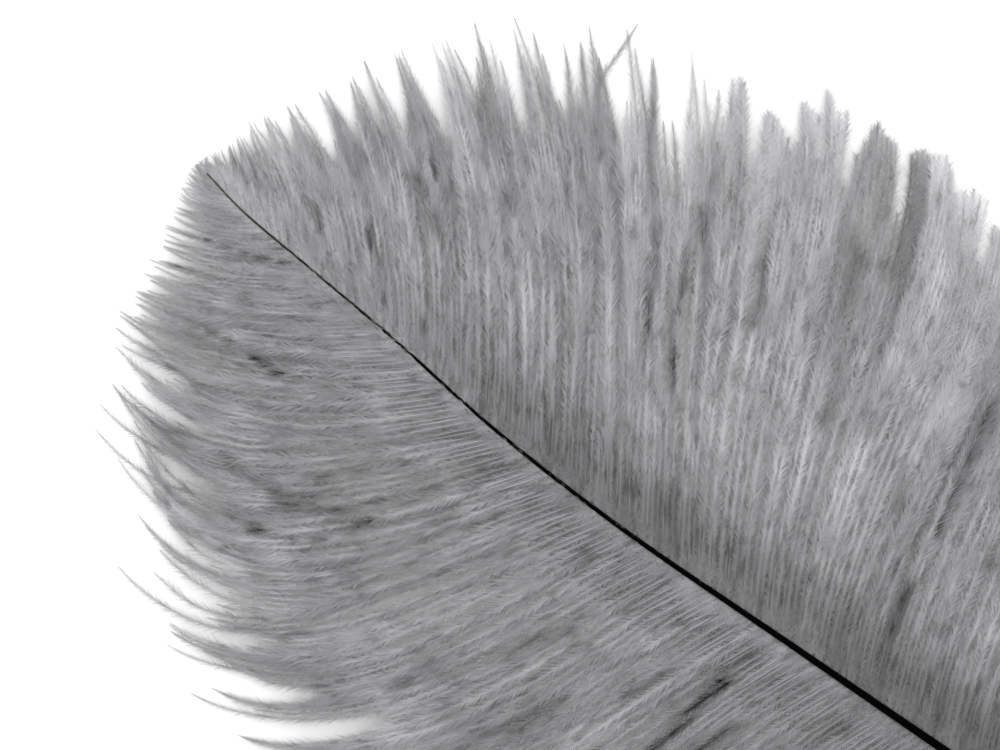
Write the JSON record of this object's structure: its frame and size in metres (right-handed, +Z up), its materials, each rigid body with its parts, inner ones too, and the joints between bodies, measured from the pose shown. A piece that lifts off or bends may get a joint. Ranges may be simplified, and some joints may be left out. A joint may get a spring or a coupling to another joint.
{
  "type": "ostrich feather",
  "caption": "Ostrich plume lying flat: a tapering black shaft with a bare quill end and two broad, loose, drooping grey vanes of soft barbs.",
  "frame": {"origin": "middle of the plume's footprint, on the surface that it lies on", "axes": "+X along the shaft towards the bare quill, +Y towards the right vane, +Z up out of the plume's upper face"},
  "size_m": [0.512, 0.2524, 0.0153],
  "materials": {
    "shaft_keratin": "smooth black keratin, satin sheen, fading to grey at the fine tip",
    "dyed_barbs": "soft matte grey down, paler towards the barbs' fine ends and darker beside the shaft"
  },
  "bodies": {
    "root": {"shaft": "shaft_keratin", "left_vane": "dyed_barbs", "right_vane": "dyed_barbs"}
  },
  "joints": []
}
